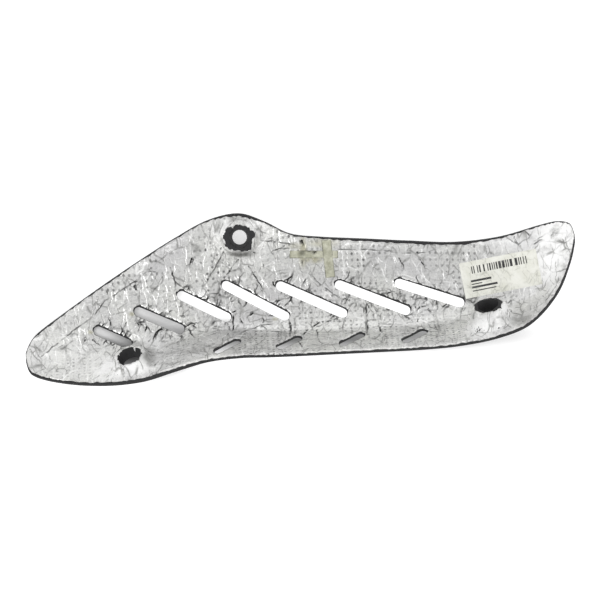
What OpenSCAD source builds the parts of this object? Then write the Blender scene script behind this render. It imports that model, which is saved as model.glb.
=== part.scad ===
// Exhaust heat shield: a moulded laminate shell with a bonded foil lining and a label.
// It lies on its outer side with the foil up. X runs along the shield and Y across it.

/* [Laminate] */
// Wall of the moulded laminate
wall = 1.5; // [1:0.1:2]
// Height that the middle of the panel is arched above its two ends
arch_rise = 7; // [3:0.5:10]
// Distance from the middle to where each end of the panel is lowest
arch_reach = 145; // [120:5:170]
// Radius of the shallow hollow across the panel
panel_radius = 260; // [180:10:600]

/* [Side wall] */
// Radius of the bend between the panel and the side wall
bend_radius = 4; // [3:0.5:7]
// Height of the low rolled border along the upper edge
border_rise = 1.6; // [0:0.1:3]
// Width of the rolled border
border_width = 8; // [5:0.5:12]

/* [Vent slots] */
// Width of the long vent slots in the panel
slot_width = 6.3; // [4:0.1:7]
// Width of the short slots in the side wall
side_slot_width = 6; // [4:0.1:7]
// Length of the short slots, end to end
side_slot_length = 21; // [14:0.5:22]
// Lean of the short slots in the side wall
side_slot_lean = 42; // [35:1:50]

/* [Bolt bosses] */
// Diameter of the upper and right bolt holes
bolt_hole = 9.6; // [6.6:0.1:11]
// Diameter of the wide hole on the left, which leaves room for the shield to grow when hot
wide_hole = 12.5; // [8:0.1:13]
// Diameter of each boss where its face begins to round off
boss_face = 18; // [16:0.5:20]
// Laminate built up under the bolt face
boss_wall = 3; // [2:0.1:4]

/* [Lining and label] */
// Thickness of the bonded foil lining
foil = 0.3; // [0.2:0.05:0.5]
// Bare rim of laminate left around the foil
foil_inset = 0.9; // [0.5:0.1:1.5]
// Width of the bare ring around each bolt hole
foil_ring = 3.6; // [2:0.1:4]
// Length of the stuck-on label
label_length = 52; // [40:1:54]
// Width of the stuck-on label
label_width = 24; // [15:1:25]
// Length of the old tape that runs along the shield
tape_length = 32; // [20:1:36]
// Width of the old tape
tape_width = 5; // [4:0.5:8]

/* [Hidden] */
$fn = 48;

// The two long edges of the inner face in plan, from the left tip to the right tip.
lower_edge = [
    [-182.6, -40.0], [-177.8, -49.5], [-157.0, -54.4], [-129.0, -55.4], [-104.0, -52.4],
    [-82.4, -45.6], [-61.1, -39.2], [-40.0, -36.5], [-22.5, -36.0], [-5.0, -35.4],
    [19.3, -34.2], [48.2, -32.8], [77.2, -31.3], [102.9, -28.8], [128.0, -23.6],
    [149.4, -15.0], [166.6, 2.6], [176.8, 23.9], [180.6, 39.6]];
upper_edge = [
    [-182.8, -35.4], [-176.4, -24.0], [-157.7, -9.3], [-131.4, 9.6], [-106.4, 26.4],
    [-84.1, 40.4], [-62.4, 52.2], [-42.0, 56.8], [-25.0, 51.6], [-7.9, 43.6],
    [13.1, 41.4], [42.7, 40.2], [72.3, 38.9], [101.8, 38.2], [131.4, 41.8],
    [157.7, 49.3], [170.0, 52.0], [178.2, 50.2], [180.9, 43.6]];
// Plan width and slope of the side wall, at even steps along the length.
side_width = [3, 16, 20, 20, 17, 14.5, 14.5, 15.5, 18, 14, 5];
side_slope = [20, 34, 48, 54, 58, 59, 59, 59, 58, 40, 24];

// Long slots: plan position of the middle, length from end to end, and lean.
long_slots = [
    [[-125.5, -24.9], 27.5, 23.5], [[-94.4, -13.6], 36, 22.5], [[-64.7, -4.3], 39.4, 25.5],
    [[-30.5, -0.6], 50, 27.4], [[6.7, 0.2], 51, 23.5], [[47.1, 1.5], 53.4, 20.8], [[84.9, 4.6], 48.6, 17.4]];
// Short slots: share of the length, and plan distance from the lower edge.
side_slots = [[0.366, 7.2], [0.492, 7.5], [0.584, 7.8], [0.662, 7.8]];

// Bosses: share of the length, plan distance from the lower edge, height, and hole.
bosses = [
    [0.206, 11.5, 7.5, wide_hole],
    [0.391, 78.0, 6.5, bolt_hole],
    [0.770, 11.0, 12, bolt_hole]];
// Slope of the flank of a boss, and of its skirt where it meets the shell.
flank_slope = 76;
skirt_slope = 26;
boss_corner = 2.2;
skirt_radius = 4.5;
skirt_lip = 1.5;
boss_reach = 0.06;

// Stuck-on pieces: thickness, plan position of the middle, turn, and the share of the length that they reach.
label_thickness = 0.15;
label_centre = [132.3, 17.4];
label_turn = 11;
label_reach = [0.7, 0.89];
tape_thickness = 0.12;
tape_along_centre = [8.1, 30.2];
tape_across_centre = [17.7, 27.4];
tape_across_size = [25, 6.3];
tape_across_turn = -83.4;
tape_reach = [0.48, 0.58];

columns = 62;
side_rows = 7;
panel_rows = 9;
rows = side_rows + panel_rows;
// Least distance between two rows.
row_step = 0.08;
through_all = 60;

// A smooth curve through evenly numbered points, at a share of its length.
function through(p, share) =
    let (last = len(p) - 1, at = max(min(floor(share * last), last - 1), 0), f = share * last - at,
        a = p[max(at - 1, 0)], b = p[at], c = p[at + 1], d = p[min(at + 2, last)])
    b + 0.5 * f * (c - a + f * (2 * a - 5 * b + 4 * c - d + f * (3 * b - a - 3 * c + d)));

// A rounded bend: nothing on the far side of a line, and an even rise on the near side.
function bend(reach, radius) = (sqrt(reach * reach + radius * radius) + reach) / 2;

function unit(v) = v / norm(v);
function span(u) = norm(through(upper_edge, u) - through(lower_edge, u));
function wall_width(u) = min(through(side_width, u), 0.34 * span(u));

// The inner face of the laminate, at a share u of the length and a plan distance d from the lower edge.
function inner_face(u, d) =
    let (low = through(lower_edge, u), p = low + unit(through(upper_edge, u) - low) * d,
        arch = arch_rise * pow(1 - pow(p.x / arch_reach, 2), 2),
        hollow = pow(d - span(u) / 2, 2) / (2 * panel_radius),
        side = tan(through(side_slope, u)) * bend(wall_width(u) - d, bend_radius),
        border = border_rise / border_width * bend(min(border_width, 0.3 * span(u)) - span(u) + d, 3))
    [p.x, p.y, arch + hollow + side + border];

function facing(u, d) =
    let (e = 0.002, s = 0.4)
    unit(cross(inner_face(min(u + e, 1), d) - inner_face(max(u - e, 0), d),
        inner_face(u, d + s) - inner_face(u, d - s)));

// Plan distance of a row of the grid from the lower edge. The rows stay in order at the narrow tips.
function row_place(j, u, inset) =
    let (near = 1.6 * wall_width(u),
        place = j <= side_rows ? near * j / side_rows : near + (span(u) - near) * (j - side_rows) / panel_rows)
    min(max(place, inset + row_step * j), span(u) - inset - row_step * (rows - j));

// Height of the lowest point of the outer side, and the middle of the outline, before the shield is set down.
lowest = min([
    for (i = [0:columns], j = [0:rows])
        let (u = i / columns, d = row_place(j, u, 0))
        (inner_face(u, d) - wall * facing(u, d)).z]);
middle = [-0.8, 0.3];

// The faces of a closed slab whose upper grid of points comes first and its lower grid second.
function slab_faces(m, n) =
    let (low = m * n, cell = [for (i = [0:m - 2], j = [0:n - 2]) i * n + j], end = (m - 1) * n)
    concat(
        [for (a = cell) [a, a + 1, a + n + 1]], [for (a = cell) [a, a + n + 1, a + n]],
        [for (a = cell) [low + a, low + a + n + 1, low + a + 1]],
        [for (a = cell) [low + a, low + a + n, low + a + n + 1]],
        [for (i = [0:m - 2]) let (a = i * n) each [[a, a + n, low + a + n], [a, low + a + n, low + a]]],
        [for (i = [1:m - 1]) let (a = i * n + n - 1) each [[a - n, low + a, a], [a - n, low + a - n, low + a]]],
        [for (j = [0:n - 2]) each [[j, low + j + 1, j + 1], [j, low + j, low + j + 1]]],
        [for (j = [0:n - 2]) let (a = end + j) each [[a, a + 1, low + a + 1], [a, low + a + 1, low + a]]]);

// The shell's form between two heights over its inner face, from one column of the grid to another.
module slab(bottom, top, inset = 0, first = 0, last = columns) {
    short = inset / 360;
    grid = [
        for (i = [first:last], j = [0:rows])
            let (u = min(max(i / columns, short), 1 - short), d = row_place(j, u, inset))
            [inner_face(u, d), facing(u, d)]];
    points = concat([for (g = grid) g[0] + g[1] * top], [for (g = grid) g[0] + g[1] * bottom]);
    polyhedron(points, slab_faces(last - first + 1, rows + 1), convexity = 8);
}

// Half of a boss in outline, from its rounded face down its flank to its skirt, set back by t.
function boss_outline(height, t) =
    let (r = boss_face / 2, top = height - boss_corner,
        rise = top + boss_corner * cos(flank_slope) - skirt_radius * (cos(skirt_slope) - cos(flank_slope)),
        foot = r + boss_corner * sin(flank_slope) + rise / tan(flank_slope) + skirt_radius * sin(flank_slope),
        level = skirt_radius * cos(skirt_slope))
    concat(
        [for (a = [0:19:flank_slope]) [r, top] + (boss_corner - t) * [sin(a), cos(a)]],
        [for (a = [flank_slope:-12.5:skirt_slope]) [foot, level] - (skirt_radius + t) * [sin(a), cos(a)]]);

module boss_solid(height, t, ceiling) {
    outline = [for (p = boss_outline(height, t)) if (p.y < ceiling) p];
    first = outline[0];
    skirt_end = outline[len(outline) - 1];
    edge = first + (ceiling - first.y) * [-1 / tan(flank_slope), 1];
    top = first.y > ceiling - 0.01 ? [[0, first.y]] : [[0, ceiling], edge];
    rotate_extrude()
        polygon(concat(top, outline, [skirt_end + skirt_lip * [1, -tan(skirt_slope)]],
            [[skirt_end.x + skirt_lip, -10], [0, -10]]));
}

// Stands its children on the inner face, with their Z along its normal.
module stand_at(u, d) {
    n = facing(u, d);
    translate(inner_face(u, d)) rotate([0, acos(n.z), atan2(n.y, n.x)]) rotate(-atan2(n.y, n.x)) children();
}

// A boss above a given height over the inner face, to be joined to the shell there.
module boss_above(b, t, height) {
    difference() {
        stand_at(b[0], b[1]) boss_solid(b[2], t, b[2] - t + 0.001);
        slab(-16, height, 0, floor((b[0] - boss_reach) * columns), ceil((b[0] + boss_reach) * columns));
    }
}

module slot(length, width, depth) {
    linear_extrude(depth, center = true) {
        square([length - width, width], center = true);
        for (x = [-1, 1]) translate([x * (length - width) / 2, 0]) circle(d = width);
    }
}

module vent_slots(margin = 0) {
    for (s = long_slots)
        translate(concat(s[0], [0])) rotate(-s[2]) slot(s[1] + 2 * margin, slot_width + 2 * margin, through_all);
    for (s = side_slots)
        stand_at(s[0], s[1]) rotate(side_slot_lean)
            slot(side_slot_length + 2 * margin, side_slot_width + 2 * margin, 12);
}

module shell() {
    color("#1c1c1e") difference() {
        union() {
            difference() {
                slab(-wall, 0);
                vent_slots();
            }
            for (b = bosses) boss_above(b, 0, -0.6 * wall);
        }
        for (b = bosses) stand_at(b[0], b[1]) {
            boss_solid(b[2], wall, b[2] - boss_wall);
            cylinder(d = b[3], h = through_all, center = true);
        }
    }
}

module foil_lining() {
    color("#c9c9c6") difference() {
        union() {
            difference() {
                slab(0, foil, foil_inset);
                vent_slots(0.4);
            }
            for (b = bosses) boss_above(b, -foil, foil / 2);
        }
        for (b = bosses) stand_at(b[0], b[1]) {
            boss_solid(b[2], 0, b[2] + 0.001);
            cylinder(d = b[3] + 2 * foil_ring, h = through_all, center = true);
        }
    }
}

// A rectangle of sheet that follows the face of the foil.
module stuck_on(size, centre, turn, thickness, reach) {
    intersection() {
        slab(foil, foil + thickness, 0, floor(reach[0] * columns), ceil(reach[1] * columns));
        translate(concat(centre, [0])) rotate(turn) cube(concat(size, [through_all]), center = true);
    }
}

module label() {
    color("#e6e3cf") difference() {
        stuck_on([label_length, label_width], label_centre, label_turn, label_thickness, label_reach);
        stand_at(bosses[2][0], bosses[2][1]) boss_solid(bosses[2][2], -foil, bosses[2][2] + foil + 0.001);
    }
}

module tape_along() {
    color("#c9c8a8") stuck_on([tape_length, tape_width], tape_along_centre, 0, tape_thickness, tape_reach);
}

// This tape was stuck on last, so it passes over the other one.
module tape_across() {
    color("#c4c4a2") difference() {
        stuck_on(tape_across_size, tape_across_centre, tape_across_turn, 2 * tape_thickness, tape_reach);
        stuck_on([tape_length, tape_width], tape_along_centre, 0, tape_thickness, tape_reach);
    }
}

// Sets its children down on the ground, about the middle of the shield.
module set_down() {
    translate([-middle.x, -middle.y, -lowest]) children();
}

set_down() shell();
set_down() foil_lining();
set_down() label();
set_down() tape_along();
set_down() tape_across();
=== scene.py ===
import math

import bpy
import numpy as np
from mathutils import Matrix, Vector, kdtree


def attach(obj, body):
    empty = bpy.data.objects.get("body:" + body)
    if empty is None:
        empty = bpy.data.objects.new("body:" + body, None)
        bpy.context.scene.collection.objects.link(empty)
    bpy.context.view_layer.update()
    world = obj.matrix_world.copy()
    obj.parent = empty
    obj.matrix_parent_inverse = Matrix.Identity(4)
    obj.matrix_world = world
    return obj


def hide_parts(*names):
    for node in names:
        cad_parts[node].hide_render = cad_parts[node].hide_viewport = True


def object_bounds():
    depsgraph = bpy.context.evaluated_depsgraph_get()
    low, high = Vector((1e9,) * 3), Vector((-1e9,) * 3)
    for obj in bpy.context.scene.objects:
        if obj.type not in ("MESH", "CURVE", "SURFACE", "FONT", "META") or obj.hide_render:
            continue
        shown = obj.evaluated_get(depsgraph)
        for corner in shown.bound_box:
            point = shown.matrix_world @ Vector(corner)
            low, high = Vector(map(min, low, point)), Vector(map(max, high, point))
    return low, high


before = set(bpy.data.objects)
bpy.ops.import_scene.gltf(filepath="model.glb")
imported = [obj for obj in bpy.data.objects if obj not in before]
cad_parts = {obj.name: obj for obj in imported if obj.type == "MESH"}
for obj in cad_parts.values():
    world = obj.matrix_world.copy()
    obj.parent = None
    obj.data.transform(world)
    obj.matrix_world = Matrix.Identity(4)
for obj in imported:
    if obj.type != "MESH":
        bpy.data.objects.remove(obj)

cad_box = [list(corner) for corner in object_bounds()]


# Shell
# One moulded laminate of woven carbon cloth, 1.5 mm thick and 3 mm under its three bolt faces.
# It is laid up in a mould with its bosses drawn up from the inside, trimmed along its edge, and
# cut for seven long and four short vents. Sizes are in millimetres until a mesh is written.
wall = 1.5
boss_wall = 3.0
arch_rise = 7.0
arch_reach = 145.0
panel_radius = 260.0
bend_radius = 4.0
border_rise = 1.6
border_width = 8.0
border_bend = 3.0
slot_width = 6.3
side_slot_width = 6.0
side_slot_length = 21.0
side_slot_lean = 42.0
boss_face = 18.0
boss_corner = 2.2
flank_slope = 76.0
skirt_slope = 26.0
skirt_radius = 4.5
skirt_lip = 1.5
skirt_blend = 1.2
boss_depth = 14.0
boss_free = 0.3
face_slack = 0.6
cut_depth = 16.0
tow_width = 2.4
smooth_angle = math.radians(40)
bare_dark, bare_light = (0.012, 0.012, 0.013, 1), (0.036, 0.036, 0.037, 1)
# Warp and weft are the same black fibre: the warp is painted lighter and the weft darker, a painted sheen of
# the weave.
warp_sheen_tone, weft_shade_tone = (0.045, 0.047, 0.050, 1), (0.007, 0.0075, 0.008, 1)
# Painted shade at the edges of the rounded tows.
shade_between_tows = (0.002, 0.002, 0.002, 1)
set_down = np.array([0.8, -0.3, 1.18457])

lower_edge = np.array([
    [-182.6, -40.0], [-177.8, -49.5], [-157.0, -54.4], [-129.0, -55.4], [-104.0, -52.4],
    [-82.4, -45.6], [-61.1, -39.2], [-40.0, -36.5], [-22.5, -36.0], [-5.0, -35.4],
    [19.3, -34.2], [48.2, -32.8], [77.2, -31.3], [102.9, -28.8], [128.0, -23.6],
    [149.4, -15.0], [166.6, 2.6], [176.8, 23.9], [180.6, 39.6]])
upper_edge = np.array([
    [-182.8, -35.4], [-176.4, -24.0], [-157.7, -9.3], [-131.4, 9.6], [-106.4, 26.4],
    [-84.1, 40.4], [-62.4, 52.2], [-42.0, 56.8], [-25.0, 51.6], [-7.9, 43.6],
    [13.1, 41.4], [42.7, 40.2], [72.3, 38.9], [101.8, 38.2], [131.4, 41.8],
    [157.7, 49.3], [170.0, 52.0], [178.2, 50.2], [180.9, 43.6]])
side_width = np.array([3, 16, 20, 20, 17, 14.5, 14.5, 15.5, 18, 14, 5])
side_slope = np.array([20.0, 34, 48, 54, 58, 59, 59, 59, 58, 40, 24])
long_slots = [
    ((-125.5, -24.9), 27.5, 23.5), ((-94.4, -13.6), 36, 22.5), ((-64.7, -4.3), 39.4, 25.5),
    ((-30.5, -0.6), 50, 27.4), ((6.7, 0.2), 51, 23.5), ((47.1, 1.5), 53.4, 20.8), ((84.9, 4.6), 48.6, 17.4)]
side_slots = [(0.366, 7.2), (0.492, 7.5), (0.584, 7.8), (0.662, 7.8)]
# Bosses: share of the length, distance from the lower edge, height, and radius of the hole.
bosses = [(0.206, 11.5, 7.5, 6.25), (0.391, 78.0, 6.5, 4.8), (0.770, 11.0, 12.0, 4.8)]


def through(points, share):
    """A smooth curve through evenly numbered points, at a share of its length."""
    last = len(points) - 1
    at = np.clip(np.floor(share * last).astype(int), 0, last - 1)
    f = share * last - at
    f = f[..., None] if points.ndim > 1 else f
    a, b, c, d = points[np.maximum(at - 1, 0)], points[at], points[at + 1], points[np.minimum(at + 2, last)]
    return b + 0.5 * f * (c - a + f * (2 * a - 5 * b + 4 * c - d + f * (3 * b - a - 3 * c + d)))


def bend(reach, radius):
    """Nothing on the far side of a line, and an even rise on the near side."""
    return (np.sqrt(reach * reach + radius * radius) + reach) / 2


def span(u):
    return np.linalg.norm(through(upper_edge, u) - through(lower_edge, u), axis=-1)


def inner_face(u, d):
    """The laminate's inner face, at a share u of the length and a plan distance d from the lower edge."""
    low, across = through(lower_edge, u), through(upper_edge, u) - through(lower_edge, u)
    width = np.linalg.norm(across, axis=-1)
    plan = low + across / width[..., None] * d[..., None]
    side = np.minimum(through(side_width, u), 0.34 * width)
    height = arch_rise * (1 - (plan[..., 0] / arch_reach) ** 2) ** 2
    height = height + (d - width / 2) ** 2 / (2 * panel_radius)
    height = height + np.tan(np.radians(through(side_slope, u))) * bend(side - d, bend_radius)
    past_border = np.minimum(border_width, 0.3 * width) - width + d
    height = height + border_rise / border_width * bend(past_border, border_bend)
    return np.concatenate([plan, height[..., None]], axis=-1)


def stand_at(u, d):
    """The point of the inner face at u and d, and three axes in columns, the third out of the face."""
    u, d = np.array([u]), np.array([d])
    along = inner_face(u + 0.002, d) - inner_face(u - 0.002, d)
    n = np.cross(along, inner_face(u, d + 0.4) - inner_face(u, d - 0.4))[0]
    n /= np.linalg.norm(n)
    k = np.array([[0, 0, n[0]], [0, 0, n[1]], [-n[0], -n[1], 0]])
    return inner_face(u, d)[0], np.eye(3) + k + k @ k / (1 + n[2])


def on_face(aim, origin, axes, u, d):
    """Height of the inner face over flat points of a frame set up on it, and the u and d found there."""
    for _ in range(6):
        here = (inner_face(u, d) - origin) @ axes
        by_u = ((inner_face(u + 1e-4, d) - origin) @ axes - here) / 1e-4
        by_d = ((inner_face(u, d + 1e-3) - origin) @ axes - here) / 1e-3
        off = aim - here[:, :2]
        area = by_u[:, 0] * by_d[:, 1] - by_u[:, 1] * by_d[:, 0]
        area = np.where(abs(area) < 1e-3, 1e-3, area)
        u = u + np.clip((off[:, 0] * by_d[:, 1] - off[:, 1] * by_d[:, 0]) / area, -0.02, 0.02)
        d = d + np.clip((by_u[:, 0] * off[:, 1] - by_u[:, 1] * off[:, 0]) / area, -4, 4)
    return ((inner_face(u, d) - origin) @ axes)[:, 2], u, d


def boss_outline(height):
    """Half of a boss in outline: its face, rounded corner, flank, skirt and lip, as radius and height."""
    corner = np.radians(np.arange(0, flank_slope + 1, 4))
    skirt = np.radians(np.arange(flank_slope, skirt_slope - 1, -5))
    steep, shallow = math.radians(flank_slope), math.radians(skirt_slope)
    rise = height - boss_corner * (1 - math.cos(steep)) - skirt_radius * (math.cos(shallow) - math.cos(steep))
    foot = boss_face / 2 + (boss_corner + skirt_radius) * math.sin(steep) + rise / math.tan(steep)
    level = skirt_radius * math.cos(shallow)
    line = [(0, height)]
    face_edge, bend_level = boss_face / 2, height - boss_corner
    line += [(face_edge + boss_corner * math.sin(a), bend_level + boss_corner * math.cos(a)) for a in corner]
    line += [(foot - skirt_radius * math.sin(a), level - skirt_radius * math.cos(a)) for a in skirt]
    line.append((line[-1][0] + skirt_lip, line[-1][1] - skirt_lip * math.tan(shallow)))
    line = np.array(line)
    return line, np.concatenate([[0], np.cumsum(np.linalg.norm(np.diff(line, axis=0), axis=1))])


def drape(u, d):
    """A grid of points laid on the inner face and drawn up over the bosses, with how far each is drawn up."""
    points, drawn = inner_face(u, d), np.zeros(u.shape)
    for share, reach, height, _ in bosses:
        origin, axes = stand_at(share, reach)
        local = (points - origin) @ axes
        rho = np.hypot(local[..., 0], local[..., 1])
        line, arc = boss_outline(height)
        near = (rho < line[-1, 0]) & (abs(local[..., 2]) < boss_depth)
        r, flat = np.maximum(rho[near], 1e-6), local[near][:, :2]
        run = r * arc[-1] / line[-1, 0]
        flat = flat * (np.interp(run, arc, line[:, 0]) / r)[:, None]
        bell = np.interp(run, arc, line[:, 1])
        face, _, _ = on_face(flat, origin, axes, u[near], d[near])
        meet = np.maximum(1 - abs(bell - face) / skirt_blend, 0)
        top = np.maximum(bell, face) + meet * meet * skirt_blend / 4
        points[near] = origin + np.column_stack([flat, top]) @ axes.T
        drawn[near] = top - face
    return points, drawn


def facing(points):
    """The normals of a grid of points, out of the inner side."""
    n = np.cross(np.gradient(points, axis=0), np.gradient(points, axis=1))
    return n / np.maximum(np.linalg.norm(n, axis=-1, keepdims=True), 1e-9)


def cut(points, u, d, kept, origin, axes, outline, may):
    """Takes the cells inside an outline out of a grid, and draws the points round the gap onto it."""
    local = (points - origin) @ axes
    middle = (local[1:, 1:] + local[:-1, 1:] + local[1:, :-1] + local[:-1, :-1]) / 4
    free = may[1:, 1:] & may[:-1, 1:] & may[1:, :-1] & may[:-1, :-1]
    gone = (outline(middle[..., :2])[0] < 0) & (abs(middle[..., 2]) < cut_depth) & free
    kept &= ~gone
    beside_gone, beside_kept = np.zeros(u.shape, bool), np.zeros(u.shape, bool)
    for i in (0, 1):
        for j in (0, 1):
            window = (slice(i, i + gone.shape[0]), slice(j, j + gone.shape[1]))
            beside_gone[window] |= gone
            beside_kept[window] |= kept
    rim = beside_gone & beside_kept
    for _ in range(2):
        local = (points[rim] - origin) @ axes
        far, way = outline(local[:, :2])
        flat = local[:, :2] - far[:, None] * way
        on_bell = ~may[rim]
        height, u[rim], d[rim] = on_face(flat, origin, axes, u[rim], d[rim])
        height = np.where(on_bell, local[:, 2], height)
        points[rim] = origin + np.column_stack([flat, height]) @ axes.T
    return rim


def turned(angle):
    """The matrix that turns rows of flat points by an angle."""
    return np.array([[math.cos(angle), math.sin(angle)], [-math.sin(angle), math.cos(angle)]])


def slot_outline(length, width, lean=0.0, margin=lambda flat, way: 0.0):
    """Tells how far flat points are outside a round-ended slot, and the way straight out of it."""
    turn = turned(lean)

    def outline(flat):
        x, y = np.moveaxis(flat @ turn.T, -1, 0)
        x = x - np.clip(x, -(length - width) / 2, (length - width) / 2)
        r = np.maximum(np.hypot(x, y), 1e-6)
        way = np.stack([x, y], -1) / r[..., None] @ turn
        return r - width / 2 - margin(flat, way), way

    return outline


def hole_outline(radius, margin=lambda angle: 0.0):
    """The same for a round hole, with a margin that may differ all round."""
    def outline(flat):
        r = np.maximum(np.hypot(flat[..., 0], flat[..., 1]), 1e-6)
        return r - radius - margin(np.arctan2(flat[..., 1], flat[..., 0])), flat / r[..., None]

    return outline


def sheet_of(name, columns, rows, points):
    """A grid primitive, shaped to a grid of points, with the place of each vertex and face in it."""
    bpy.ops.object.select_all(action="DESELECT")
    bpy.ops.mesh.primitive_grid_add(x_subdivisions=columns, y_subdivisions=rows, size=1)
    piece = bpy.context.object
    piece.name = piece.data.name = name
    mesh = piece.data
    flat, middle = np.zeros(len(mesh.vertices) * 3), np.zeros(len(mesh.polygons) * 3)
    mesh.vertices.foreach_get("co", flat)
    mesh.polygons.foreach_get("center", middle)
    flat, middle = flat.reshape(-1, 3) + 0.5, middle.reshape(-1, 3) + 0.5
    at = np.rint(flat[:, 0] * columns).astype(int), np.rint(flat[:, 1] * rows).astype(int)
    cell = np.floor(middle[:, 0] * columns).astype(int), np.floor(middle[:, 1] * rows).astype(int)
    mesh.vertices.foreach_set("co", ((points[at] + set_down) / 1000).ravel())
    return piece, at, cell


def drop_cells(piece, gone):
    """Deletes the chosen faces in edit mode."""
    bpy.ops.object.mode_set(mode="EDIT")
    bpy.ops.mesh.select_mode(type="FACE")
    bpy.ops.mesh.select_all(action="DESELECT")
    bpy.ops.object.mode_set(mode="OBJECT")
    piece.data.polygons.foreach_set("select", gone)
    bpy.ops.object.mode_set(mode="EDIT")
    bpy.ops.mesh.delete(type="FACE")
    bpy.ops.object.mode_set(mode="OBJECT")


def keep_in_box(piece):
    """Trims the last hundredths of a millimetre that finer curves stand out of the CAD part's box."""
    flat = np.zeros(len(piece.data.vertices) * 3)
    piece.data.vertices.foreach_get("co", flat)
    piece.data.vertices.foreach_set("co", np.clip(flat.reshape(-1, 3), *cad_box).ravel())
    piece.data.update()


def note(piece, name, values):
    """Keeps a number for each vertex, for the material to read."""
    kept_numbers = piece.data.attributes.new(name, "FLOAT", "POINT")
    kept_numbers.data.foreach_set("value", values.astype(np.float32).ravel())


def give_layout(piece, across, name="cloth"):
    """Lays a UV map by a pair of numbers for each vertex."""
    corner = np.zeros(len(piece.data.loops), int)
    piece.data.loops.foreach_get("vertex_index", corner)
    layer = piece.data.uv_layers.get("UVMap") or piece.data.uv_layers.new(name="UVMap")
    layer.name = name
    layer.data.foreach_set("uv", across[corner].ravel())


def finish_with(name):
    """A new material, its node tree and its shader."""
    material = bpy.data.materials.new(name)
    material.use_nodes = True
    tree = material.node_tree
    shader = tree.nodes["Principled BSDF"]
    return material, tree, shader


def feed(tree, node, **sockets):
    """Feeds a node's sockets with numbers or with other nodes' outputs."""
    for key, value in sockets.items():
        socket = node.inputs[int(key[1:]) if key[0] == "i" and key[1:].isdigit() else key.replace("_", " ")]
        if isinstance(value, bpy.types.NodeSocket):
            tree.links.new(value, socket)
        else:
            socket.default_value = value


def add(tree, kind, settings=None, **sockets):
    """Adds a node, sets its settings and feeds its sockets."""
    made = tree.nodes.new(kind)
    for key, value in (settings or {}).items():
        setattr(made, key, value)
    feed(tree, made, **sockets)
    return made


def maths(tree, how, a, b=0.0, c=0.0):
    return add(tree, "ShaderNodeMath", {"operation": how}, i0=a, i1=b, i2=c).outputs[0]


def blend(tree, share, a, b):
    return add(tree, "ShaderNodeMix", {"data_type": "RGBA"}, i0=share, i6=a, i7=b).outputs[2]


def noise(tree, place, scale, detail, roughness=0.5):
    made = add(tree, "ShaderNodeTexNoise", Vector=place, Scale=scale, Detail=detail, Roughness=roughness)
    return made.outputs[0]


def emboss(tree, shader, height, distance, strength):
    """Adds a relief, its height in metres, over any that the shader already has."""
    under = shader.inputs["Normal"].links
    made = add(tree, "ShaderNodeBump", Height=height, Distance=distance, Strength=strength)
    if under:
        tree.links.new(under[0].from_socket, made.inputs["Normal"])
    tree.links.new(made.outputs[0], shader.inputs["Normal"])


shell_columns, shell_rows = 300, 78
share = np.linspace(0, 1, shell_columns + 1)[:, None] * np.ones(shell_rows + 1)
reach = np.linspace(0, 1, shell_rows + 1)[None, :] * span(share)
face, drawn = drape(share, reach)
run_along = np.cumsum(np.r_[0, np.linalg.norm(np.diff(face[:, shell_rows // 3], axis=0), axis=1)])
run_across = np.concatenate([np.zeros((shell_columns + 1, 1)),
                             np.cumsum(np.linalg.norm(np.diff(face, axis=1), axis=2), axis=1)], axis=1)
cloth = np.stack([run_along[:, None] * np.ones(shell_rows + 1), run_across], -1) / tow_width
kept = np.ones((shell_columns, shell_rows), bool)
for place, length, lean in long_slots:
    cut(face, share, reach, kept, np.array([*place, 0.0]), np.eye(3),
        slot_outline(length, slot_width, math.radians(-lean)), drawn < boss_free)
for at_share, at_reach in side_slots:
    origin, axes = stand_at(at_share, at_reach)
    cut(face, share, reach, kept, origin, axes,
        slot_outline(side_slot_length, side_slot_width, math.radians(side_slot_lean)), drawn < boss_free)
wall_share = np.full(share.shape, wall / boss_wall)
for at_share, at_reach, height, radius in bosses:
    origin, axes = stand_at(at_share, at_reach)
    cut(face, share, reach, kept, origin, axes, hole_outline(radius), np.ones(share.shape, bool))
    local = (face - origin) @ axes
    under_face = np.hypot(local[..., 0], local[..., 1]) < boss_face / 2
    under_face &= abs(local[..., 2] - height) < face_slack
    local[under_face, 2] = height
    face[under_face] = origin + local[under_face] @ axes.T
    wall_share[under_face] = 1.0
bare, tree, shader = finish_with("bare_laminate")
place = add(tree, "ShaderNodeTexCoord").outputs["Object"]
grain = noise(tree, place, 1400.0, 3.0)
tone = blend(tree, grain, bare_dark, bare_light)
feed(tree, shader, Base_Color=tone, Roughness=0.62, Specular_IOR_Level=0.3)
emboss(tree, shader, grain, 0.00008, 0.5)

coated, tree, shader = finish_with("coated_carbon_weave")
layout = add(tree, "ShaderNodeUVMap", {"uv_map": "cloth"}).outputs[0]
parts = add(tree, "ShaderNodeSeparateXYZ", Vector=layout)
warp, weft = parts.outputs[0], parts.outputs[1]
step = maths(tree, "SUBTRACT", maths(tree, "FLOOR", warp), maths(tree, "FLOOR", weft))
over = maths(tree, "LESS_THAN", maths(tree, "MODULO", maths(tree, "ADD", step, 4000.0), 4.0), 2.0)
round_warp = maths(tree, "SINE", maths(tree, "MULTIPLY", maths(tree, "FRACT", warp), math.pi))
round_weft = maths(tree, "SINE", maths(tree, "MULTIPLY", maths(tree, "FRACT", weft), math.pi))
tow = add(tree, "ShaderNodeMix", {"data_type": "FLOAT"}, i0=over, i2=round_weft, i3=round_warp).outputs[0]
# Painted sheen: tows lying one way are lighter than tows lying the other way.
tone = blend(tree, over, weft_shade_tone, warp_sheen_tone)
# Each tow is darker towards its edges: painted shade where the rounded tows dip.
tone = blend(tree, maths(tree, "POWER", tow, 0.5), shade_between_tows, tone)
feed(tree, shader, Base_Color=tone, Roughness=0.42, Coat_Weight=1.0, Coat_Roughness=0.06)
emboss(tree, shader, tow, 0.00012, 0.6)

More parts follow.
